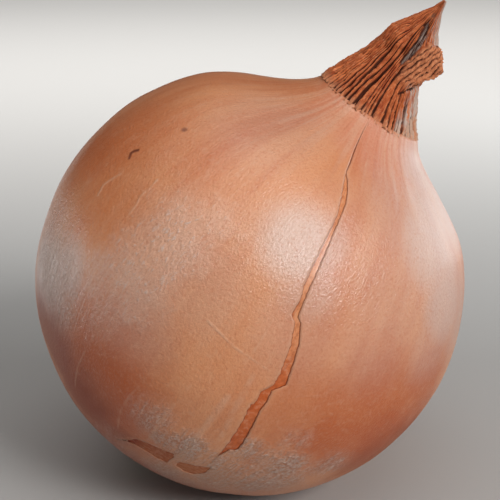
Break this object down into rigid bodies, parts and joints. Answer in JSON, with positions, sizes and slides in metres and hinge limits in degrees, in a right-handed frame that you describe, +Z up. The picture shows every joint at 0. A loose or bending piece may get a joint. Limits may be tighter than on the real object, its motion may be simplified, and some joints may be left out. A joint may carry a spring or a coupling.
{
  "type": "onion",
  "caption": "Whole yellow onion lying tilted on its side, in a split papery skin, with a withered brown neck and dry roots.",
  "frame": {"origin": "middle of the small flat spot that the onion rests on", "axes": "+Z is up; the onion's own axis, from the roots to the neck, leans 33 degrees from +Z towards +X; the split in the skin faces -Y"},
  "size_m": [0.0761, 0.0762, 0.0876],
  "materials": {
    "inner_skin": "satin",
    "papery_skin": "satin",
    "dry_leaf": "matte",
    "dry_root": "matte"
  },
  "bodies": {
    "root": {"bulb": "inner_skin", "outer_skin": "papery_skin", "dry_neck": "dry_leaf", "root_plate": "dry_root"}
  },
  "joints": []
}
